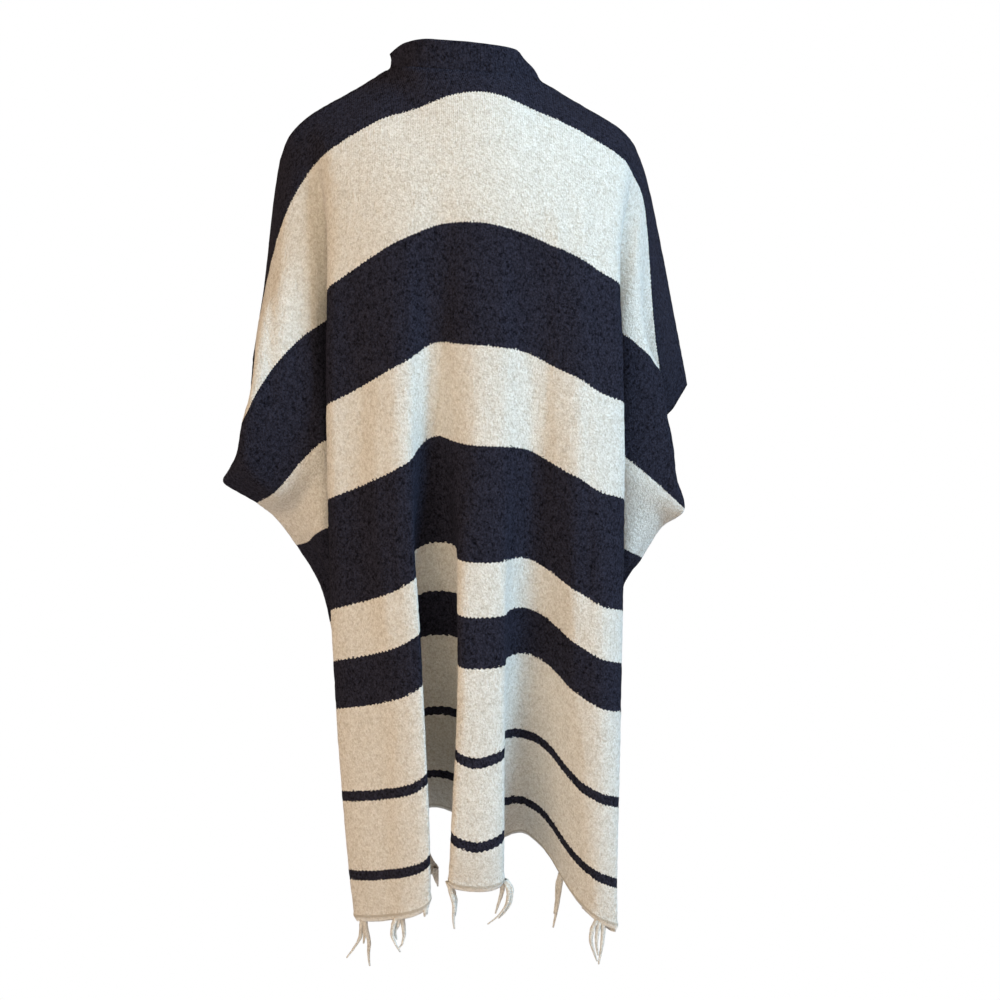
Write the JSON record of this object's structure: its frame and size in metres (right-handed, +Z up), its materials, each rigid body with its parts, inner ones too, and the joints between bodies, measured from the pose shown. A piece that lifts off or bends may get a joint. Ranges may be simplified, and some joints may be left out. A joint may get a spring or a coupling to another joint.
{
  "type": "open-fronted striped knit shrug",
  "caption": "Wide open-fronted knit shrug with stripes, draped sleeves, a low stand-up collar and yarn tassels, hollow as worn.",
  "frame": {"origin": "foot of the neck, midway between the two places where the garment rests on the shoulders", "axes": "+Z up, -Y the way the wearer faces, +X to the wearer's left"},
  "size_m": [0.5652, 0.3421, 1.1606],
  "materials": {
    "striped_knit": "matte boucle knit, cream with navy stripes",
    "navy_knit": "matte boucle knit, navy",
    "tassel_yarn": "loose matte yarn, pale grey-white"
  },
  "bodies": {
    "root": {"back_panel": "striped_knit", "front_left": "striped_knit", "front_right": "striped_knit", "collar": "navy_knit", "tassel_back_1": "tassel_yarn", "tassel_back_2": "tassel_yarn", "tassel_back_3": "tassel_yarn", "tassel_back_4": "tassel_yarn", "tassel_back_5": "tassel_yarn", "tassel_back_6": "tassel_yarn", "tassel_back_7": "tassel_yarn", "tassel_back_8": "tassel_yarn", "tassel_left_1": "tassel_yarn", "tassel_left_2": "tassel_yarn", "tassel_left_3": "tassel_yarn", "tassel_right_1": "tassel_yarn", "tassel_right_2": "tassel_yarn", "tassel_right_3": "tassel_yarn"}
  },
  "joints": []
}
